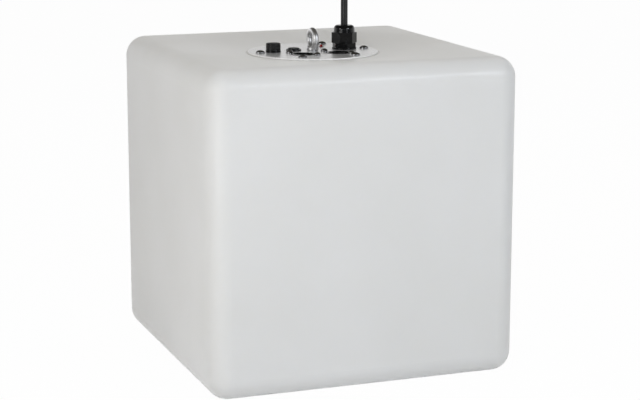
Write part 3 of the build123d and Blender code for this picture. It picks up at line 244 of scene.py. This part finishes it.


# Painted shade: above the lowest height, the milky colour goes grey in a thin ring round the plate's seat,
# for the shadow under the plate's edge.
seat_shade_near = ramp(milky, reach_of(milky), seat_shade_outside, seat_shade_inside)
seat_shade_share = reckon(milky, "MULTIPLY", seat_shade_near, reckon(milky, "GREATER_THAN", shell_height, seat_shade_lowest))
milk_with_seat_shade = mixed(milky, seat_shade_share, milky.nodes["skin"].outputs["Color"], seat_shade_grey)
milky.links.new(milk_with_seat_shade, milky_shader.inputs["Base Color"])


def dress(finish, *names):
    # Gives CAD pieces their finish
    for name in names:
        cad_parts[name].material_slots[0].material = finish


dress(milky_skin, "cube_shell")

# Neck hardware: turned brass inserts for the rim screws, set into the shell's thick neck,
# and a flat rubber ring on the seat, which seals the plate.
brass = grained(
    "turned brass",
    light=(0.74, 0.56, 0.27),
    dark=(0.62, 0.45, 0.2),
    rough=(0.2, 0.34),
    patch=160,
    grain=2600,
    bump=0.00001,
    metallic=1.0,
)
soft_rubber = grained(
    "black rubber",
    light=(0.022, 0.022, 0.023),
    dark=(0.03, 0.03, 0.031),
    rough=(0.5, 0.66),
    patch=120,
    grain=1800,
    bump=0.00003,
)
dress(brass, "threaded_inserts")
dress(soft_rubber, "plate_gasket")

# Light engine: a square aluminium post with a white board on each side, and two columns of emitters on each.
# The post is screwed to the foot of a folded aluminium bracket, so that it hangs in the middle of the cube.
aluminium = grained(
    "plain aluminium",
    light=(0.76, 0.76, 0.77),
    dark=(0.66, 0.66, 0.67),
    rough=(0.3, 0.42),
    patch=60,
    grain=1500,
    bump=0.00001,
    metallic=1.0,
)
board_white = grained(
    "white board lacquer",
    light=(0.84, 0.84, 0.82),
    dark=(0.8, 0.8, 0.78),
    rough=(0.22, 0.3),
    patch=80,
    grain=1400,
    bump=0.00001,
)
phosphor = grained(
    "yellow phosphor",
    light=(0.88, 0.78, 0.36),
    dark=(0.84, 0.7, 0.28),
    rough=(0.12, 0.2),
    patch=400,
    grain=2000,
    bump=0.00001,
)
zinc = grained(
    "zinc-plated steel",
    light=(0.62, 0.62, 0.61),
    dark=(0.5, 0.5, 0.49),
    rough=(0.26, 0.38),
    patch=200,
    grain=2400,
    bump=0.00001,
    metallic=1.0,
)
dress(aluminium, "chassis_bracket", "led_post")
dress(board_white, "led_boards")
dress(phosphor, "led_emitters")
dress(zinc, "post_screws", "led_board_screws")

# Power supply and control board: a black moulded block screwed to the bracket, and a green board behind it.
# The board stands on brass pillars and carries its chip, capacitors and cable blocks.
# Rubber-covered leads join them to the fittings on the plate and to the light engine.
deep_black = (0.004, 0.004, 0.0043)
worn_black = (0.007, 0.007, 0.0074)


def moulded_nylon(name, rough, specular):
    # Black nylon, as glossy as each mould leaves it
    return grained(
        name,
        light=deep_black,
        dark=worn_black,
        rough=rough,
        patch=130,
        grain=2200,
        bump=0.000006,
        specular=specular,
    )


black_nylon = moulded_nylon("black nylon", rough=(0.1, 0.16), specular=0.24)
board_green = grained(
    "green board lacquer",
    light=(0.02, 0.16, 0.06),
    dark=(0.015, 0.11, 0.04),
    rough=(0.2, 0.3),
    patch=140,
    grain=1600,
    bump=0.00001,
)
dress(black_nylon, "power_supply", "board_parts")
dress(board_green, "control_board")
dress(brass, "board_standoffs")
dress(zinc, "supply_screws", "board_screws")
dress(soft_rubber, "mains_lead", "signal_leads", "led_lead")

# Control plate: a disc of satin stainless steel, 125 mm across, which closes the neck and holds the fittings.
# Its face is brushed from side to side. Its cut edge is matt and near white, a painted highlight, and greyer
# at its foot by the gasket, painted shade.
rim_start = 0.0621
rim_shade_end = 0.2934
rim_highlight_start = 0.2938
rim_shade_grey = (0.6, 0.59, 0.57, 1)
rim_highlight_white = (0.98, 0.98, 0.98, 1)
rim_rough = 0.6
rim_metal = 0.0
face_metal = 0.7
satin_steel = bpy.data.materials.new("satin steel plate")
satin_steel.use_nodes = True
steel = satin_steel.node_tree
steel_shader = steel.nodes["Principled BSDF"]
steel_shader.inputs["Specular Tint"].default_value = (0.92, 0.92, 0.92, 1)
face_skin = add_skin(
    steel,
    {"Light": (0.9, 0.9, 0.905, 1), "Dark": (0.86, 0.86, 0.865, 1), "Patch Scale": 30},
)
brush_way = steel.nodes.new("ShaderNodeMapping")
brush_way.inputs["Scale"].default_value = (24, 1300, 1)
brush_lines = steel.nodes.new("ShaderNodeTexNoise")
brush_lines.inputs["Scale"].default_value = 1
brush_lines.inputs["Detail"].default_value = 3
brush_relief = steel.nodes.new("ShaderNodeBump")
brush_relief.inputs["Distance"].default_value = 0.000003
steel.links.new(place_on(steel), brush_way.inputs["Vector"])
steel.links.new(brush_way.outputs["Vector"], brush_lines.inputs["Vector"])
steel.links.new(brush_lines.outputs["Fac"], brush_relief.inputs["Height"])
steel.links.new(brush_relief.outputs["Normal"], steel_shader.inputs["Normal"])
face_rough = ramp(steel, brush_lines.outputs["Fac"], start=0.35, end=0.65, low=0.27, high=0.35)
on_rim = reckon(steel, "GREATER_THAN", reach_of(steel), rim_start)
# Painted light: the cut edge's colour is a near-white painted highlight, going to a grey painted shade at its
# foot by the gasket.
rim_painted_light = mixed(steel, ramp(steel, height_of(steel), rim_shade_end, rim_highlight_start), rim_shade_grey, rim_highlight_white)
steel_colour = mixed(steel, on_rim, face_skin.outputs["Color"], rim_painted_light)
steel_rough = mixed(steel, on_rim, face_rough, rim_rough, kind="FLOAT")
steel_metal = mixed(steel, on_rim, face_metal, rim_metal, kind="FLOAT")
steel.links.new(steel_colour, steel_shader.inputs["Base Color"])
steel.links.new(steel_rough, steel_shader.inputs["Roughness"])
steel.links.new(steel_metal, steel_shader.inputs["Metallic"])
dress(satin_steel, "control_plate")

# Rim screws: nickel-plated steel screws with pan heads and a cross recess, six round the plate's edge.
# They go through the plate and its gasket into the brass inserts.
screw_nickel = grained(
    "nickel plating",
    light=(0.4, 0.4, 0.41),
    dark=(0.32, 0.32, 0.33),
    rough=(0.08, 0.14),
    patch=300,
    grain=2600,
    bump=0.000002,
    metallic=1.0,
)
dress(screw_nickel, "plate_screws")

# Lifting eye: a cast ring on a collar, zinc plated, through the middle of the plate.
# Its washer and nut under the plate also clamp the bracket.
cast_zinc = grained(
    "plated casting",
    light=(0.86, 0.86, 0.87),
    dark=(0.78, 0.78, 0.79),
    rough=(0.33, 0.41),
    patch=220,
    grain=900,
    bump=0.000008,
    metallic=1.0,
)
dress(cast_zinc, "eye_bolt")
dress(zinc, "eye_washer", "eye_nut")

# Signal sockets: black moulded cups held behind the plate by screws and nuts. One has plated pins.
# The other has a core with brass contacts in its holes, and a sprung latch tab.
bright_plate = grained(
    "bright plating",
    light=(0.72, 0.72, 0.73),
    dark=(0.64, 0.64, 0.65),
    rough=(0.12, 0.18),
    patch=300,
    grain=2600,
    bump=0.000002,
    metallic=1.0,
)
core_black = grained(
    "black socket core",
    light=(0.017, 0.017, 0.018),
    dark=(0.023, 0.023, 0.024),
    rough=(0.3, 0.4),
    patch=130,
    grain=1800,
    bump=0.00001,
)
dress(black_nylon, "dmx_in_socket", "dmx_out_socket")
dress(core_black, "dmx_out_core", "dmx_latch")
dress(bright_plate, "dmx_in_pins")
dress(brass, "dmx_out_contacts")
dress(screw_nickel, "socket_screws")
dress(zinc, "socket_nuts")

# Fuse holder: a black threaded barrel, held under the plate by a nut, with a brass contact at its foot.
# Its ribbed cap turns and lifts out with the fuse, a glass tube with a plated cap on each end.
cap_face_depth = 0.0001
fuse_glass = bpy.data.materials.new("fuse glass")
fuse_glass.use_nodes = True
glass = fuse_glass.node_tree
glass_shader = glass.nodes["Principled BSDF"]
glass_shader.inputs["Transmission Weight"].default_value = 1
glass_skin = add_skin(glass, {"Patch Scale": 700, "Rough Low": 0.01, "Rough High": 0.05})
glass.links.new(glass_skin.outputs["Roughness"], glass_shader.inputs["Roughness"])


def matt_topped(finish, node, rough):
    # The top face of a moulded cap is left matt by its mould, while the sides stay glossy
    tree = finish.node_tree
    _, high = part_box(node)
    on_top = reckon(tree, "GREATER_THAN", height_of(tree), high[2] - cap_face_depth)
    gloss = mixed(tree, on_top, tree.nodes["skin"].outputs["Roughness"], rough, kind="FLOAT")
    tree.links.new(gloss, tree.nodes["Principled BSDF"].inputs["Roughness"])
    dress(finish, node)


cap_black = moulded_nylon("black cap nylon", rough=(0.24, 0.3), specular=0.4)
matt_topped(cap_black, "fuse_cap", rough=0.6)
dress(black_nylon, "fuse_holder_body", "fuse_nut")
dress(brass, "fuse_contact")
dress(fuse_glass, "fuse_glass")
dress(bright_plate, "fuse_end_caps")


# Mode button and status light: a push button in a glossy black housing, with brass tags for its wires,
# and a small red lens in a black bezel. Each is held under the plate by a nut.
def moulded_gloss(name):
    # Glossy black plastic, for the housings and the button's cap
    return grained(
        name,
        light=(0.008, 0.008, 0.009),
        dark=(0.012, 0.012, 0.013),
        rough=(0.14, 0.22),
        patch=200,
        grain=1800,
        bump=0.00001,
    )


black_gloss = moulded_gloss("black gloss")
button_black = moulded_gloss("black button")
red_lens = grained(
    "red lens",
    light=(0.42, 0.015, 0.02),
    dark=(0.3, 0.01, 0.012),
    rough=(0.06, 0.12),
    patch=500,
    grain=1500,
    bump=0.000004,
)
matt_topped(button_black, "button_cap", rough=0.5)
dress(black_gloss, "button_body", "status_bezel")
dress(red_lens, "status_lens")
dress(brass, "button_tags")
dress(zinc, "button_nut", "status_nut")

# Cable gland: a black nylon body and a domed nut, which squeezes a rubber seal onto the cable.
# A washer on the plate and a locknut under it hold the body. The dome is moulded glossier than the flats.
dome_start = 0.3109
dome_glossy = 0.3115
gland_black = moulded_nylon("black gland nylon", rough=(0.1, 0.16), specular=0.24)
gland = gland_black.node_tree
gland_shader = gland.nodes["Principled BSDF"]
gland_shader.inputs["Coat Roughness"].default_value = 0.1
dome_polish = ramp(gland, height_of(gland), dome_start, dome_glossy, high=0.35)
gland.links.new(dome_polish, gland_shader.inputs["Coat Weight"])
dress(gland_black, "gland_dome_nut")
dress(black_nylon, "gland_washer", "gland_body", "gland_locknut")
dress(soft_rubber, "gland_seal")

# Mains cable: a round black flex 6.8 mm thick and 1.8 m long, from the gland to a moulded plug.
# It rises from the gland, bends over the cube's back edge and ends behind it in a coil held by a tie.
# A stop of the coil is how far out along Y, and how high, a half turn ends and the next one starts.
cable_thick = 0.0068
coil_low = 0.0048
coil_layer = 0.0074
coil_high = coil_low + coil_layer
coil_x = -0.008
coil_y = 0.2114
coil_side_points = 8
coil_stops = [
    (0.0454, coil_low),
    (0.0417, coil_low),
    (0.0380, coil_low),
    (0.0343, coil_low),
    (0.0306, coil_low),
    (0.0269, coil_high),
    (0.0343, coil_high),
    (0.0380, coil_high),
    (0.0417, coil_high),
    (0.0454, coil_high),
]
cable_rise = [
    (0.0340, 0.0040, 0.3181),
    (0.0340, 0.0040, 0.3450),
    (0.0340, 0.0040, 0.3800),
    (0.0498, 0.0451, 0.4240),
    (0.0714, 0.1011, 0.4270),
    (0.0880, 0.1440, 0.3800),
    (0.0970, 0.1675, 0.3120),
    (0.0988, 0.1720, 0.2400),
    (0.0995, 0.1705, 0.1680),
    (0.0970, 0.1680, 0.0980),
    (0.0900, 0.1680, 0.0460),
    (0.0730, 0.1685, 0.0180),
    (0.0480, 0.1685, coil_low),
    (0.0220, 0.1660, coil_low),
]
cable_tail = [
    (0.0160, 0.2568, coil_high),
    (0.0400, 0.2568, 0.0186),
    (0.0590, 0.2568, 0.0186),
]


def coil_points():
    # Half turns from stop to stop along Y, their points set out so that the curve keeps the turn's radius
    points = []
    side = -1
    step = pi / coil_side_points
    out = 1 / cos(step / 2)
    for (near, low), (far, high) in zip(coil_stops, coil_stops[1:]):
        start = Vector((coil_x, coil_y + side * near, low))
        end = Vector((coil_x, coil_y - side * far, high))
        middle = (start + end) / 2
        along = (end - start) / 2
        bulge = Vector((side * along.length, 0, 0))
        for k in range(coil_side_points):
            turn = (k + 0.5) * step
            points.append(middle - along * cos(turn) * out + bulge * sin(turn) * out)
        side = -side
    return points


cable_line = bpy.data.curves.new("mains_cord", "CURVE")
cable_line.dimensions = "3D"
cable_line.bevel_depth = cable_thick / 2
cable_line.bevel_resolution = 5
cable_line.resolution_u = 8
cable_line.use_fill_caps = True
cable_run = cable_line.splines.new("NURBS")
cable_points = [Vector(p) for p in cable_rise] + coil_points() + [Vector(p) for p in cable_tail]
cable_run.points.add(len(cable_points) - 1)
for point, place in zip(cable_run.points, cable_points):
    point.co = (*place, 1)
cable_run.order_u = 3
cable_run.use_endpoint_u = True
mains_cord = bpy.data.objects.new("mains_cord", cable_line)
bpy.context.collection.objects.link(mains_cord)
flex_black = grained(
    "black flex",
    light=deep_black,
    dark=worn_black,
    rough=(0.16, 0.22),
    patch=90,
    grain=1500,
    bump=0.000006,
    specular=0.3,
)
cable_line.materials.append(flex_black)
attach(mains_cord, "lamp")
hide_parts("mains_cable", "mains_cable_coil", "mains_cable_tail")
dress(soft_rubber, "mains_plug")
dress(bright_plate, "plug_pins")
dress(black_nylon, "coil_tie")

# Stage: a floor of white paper in a studio that is white beyond the cube, dim overhead and behind the camera.
# Of its six soft lamps, four stand round the front and light the two faces that show.
# The front and back lamps light the top from above, and don't show in glossy surfaces.
scene = bpy.context.scene
scene.view_settings.view_transform = "Standard"

floor_size = 40
floor_height = -0.0002
glow_share = 0.98
bpy.ops.mesh.primitive_plane_add(size=floor_size, location=(0, 0, floor_height))
floor = bpy.context.object
floor.name = "studio_floor"
white_paper = bpy.data.materials.new("white paper")
white_paper.use_nodes = True
paper = white_paper.node_tree
paper_shader = paper.nodes["Principled BSDF"]
paper_shader.inputs["Base Color"].default_value = (0.9, 0.9, 0.9, 1)
paper_shader.inputs["Roughness"].default_value = 0.9
paper_glow = paper.nodes.new("ShaderNodeEmission")
paper_rays = paper.nodes.new("ShaderNodeLightPath").outputs
paper_mirrored = reckon(paper, "MAXIMUM", paper_rays["Is Glossy Ray"], paper_rays["Is Transmission Ray"])
paper_seen = reckon(paper, "MAXIMUM", paper_rays["Is Camera Ray"], paper_mirrored)
paper_white = reckon(paper, "MULTIPLY", paper_seen, glow_share)
paper_mix = paper.nodes.new("ShaderNodeMixShader")
paper.links.new(paper_white, paper_mix.inputs["Fac"])
paper.links.new(paper_shader.outputs["BSDF"], paper_mix.inputs[1])
paper.links.new(paper_glow.outputs["Emission"], paper_mix.inputs[2])
paper.links.new(paper_mix.outputs["Shader"], paper.nodes["Material Output"].inputs["Surface"])
floor.data.materials.append(white_paper)

wall_white = (1, 1, 1, 1)
wall_dim = (0.135, 0.143, 0.155, 1)
ceiling_dim = (0.08, 0.075, 0.065, 1)
beyond_cube = (0.347, 0.938, 0)
studio = bpy.data.worlds.new("studio")
scene.world = studio
studio.use_nodes = True
room = studio.node_tree
room_way = room.nodes.new("ShaderNodeTexCoord").outputs["Generated"]
room_rays = room.nodes.new("ShaderNodeLightPath").outputs
room_height = room.nodes.new("ShaderNodeSeparateXYZ")
room_beyond = room.nodes.new("ShaderNodeVectorMath")
room_beyond.operation = "DOT_PRODUCT"
room_beyond.inputs[1].default_value = beyond_cube
room.links.new(room_way, room_height.inputs["Vector"])
room.links.new(room_way, room_beyond.inputs[0])
wall_share = ramp(room, room_beyond.outputs["Value"], start=-0.5, end=0.5)
ceiling_share = ramp(room, room_height.outputs["Z"], start=0.22, end=0.44)
room_wall = mixed(room, wall_share, wall_dim, wall_white)
room_light = mixed(room, ceiling_share, room_wall, ceiling_dim)
room_seen = reckon(room, "MAXIMUM", room_rays["Is Camera Ray"], room_rays["Is Transmission Ray"])
room_colour = mixed(room, room_seen, room_light, wall_white)
room.links.new(room_colour, room.nodes["Background"].inputs["Color"])

lamp_aim = Vector((0, 0, 0.2))


def soft_lamp(name, azimuth, elevation, distance, size, power, colour, mirrored=True):
    # A rectangular lamp that faces the cube, placed by its angles in degrees as seen from there
    lamp = bpy.data.lights.new(name, "AREA")
    lamp.shape = "RECTANGLE"
    lamp.size, lamp.size_y = size
    lamp.energy = power
    lamp.color = colour
    turn = radians(azimuth)
    lift = radians(elevation)
    place = lamp_aim + distance * Vector((sin(turn) * cos(lift), -cos(turn) * cos(lift), sin(lift)))
    stand = bpy.data.objects.new(name, lamp)
    stand.location = place
    stand.rotation_euler = (lamp_aim - place).to_track_quat("-Z", "Y").to_euler()
    stand.visible_glossy = mirrored
    bpy.context.collection.objects.link(stand)


soft_lamp(
    "left_lamp",
    azimuth=-67,
    elevation=17,
    distance=1.6,
    size=(0.5, 0.5),
    power=4.5,
    colour=(1.0, 0.985, 0.955),
)
soft_lamp(
    "right_lamp",
    azimuth=24,
    elevation=26,
    distance=1.6,
    size=(0.6, 0.26),
    power=6.4,
    colour=(0.89, 0.94, 1.0),
)
soft_lamp(
    "near_lamp",
    azimuth=-48,
    elevation=0,
    distance=0.87,
    size=(0.25, 0.35),
    power=0.92,
    colour=(1.0, 1.0, 1.0),
)
soft_lamp(
    "low_lamp",
    azimuth=13,
    elevation=0,
    distance=0.9,
    size=(0.25, 0.35),
    power=0.4,
    colour=(0.95, 0.97, 1.0),
)
soft_lamp(
    "front_lamp",
    azimuth=-25,
    elevation=56,
    distance=1.6,
    size=(0.8, 0.8),
    power=6.2,
    colour=(1.0, 1.0, 1.0),
    mirrored=False,
)
soft_lamp(
    "back_lamp",
    azimuth=150,
    elevation=60,
    distance=1.8,
    size=(0.8, 0.8),
    power=8.0,
    colour=(1.0, 0.96, 0.89),
    mirrored=False,
)

# Camera: a long lens a little above the cube and to the left of its front face, as in the photograph.
# Its place and the way it looks were fitted to the cube's corners and edges.
camera_place = (-0.6043, -1.6560, 0.5170)
camera_way = Vector((0.33926, 0.91813, -0.20484))
camera_eye = bpy.data.cameras.new("camera")
camera_eye.lens = 103.61
camera_eye.sensor_width = 36
camera = bpy.data.objects.new("camera", camera_eye)
camera.location = camera_place
camera.rotation_euler = camera_way.to_track_quat("-Z", "Y").to_euler()
bpy.context.collection.objects.link(camera)
scene.camera = camera
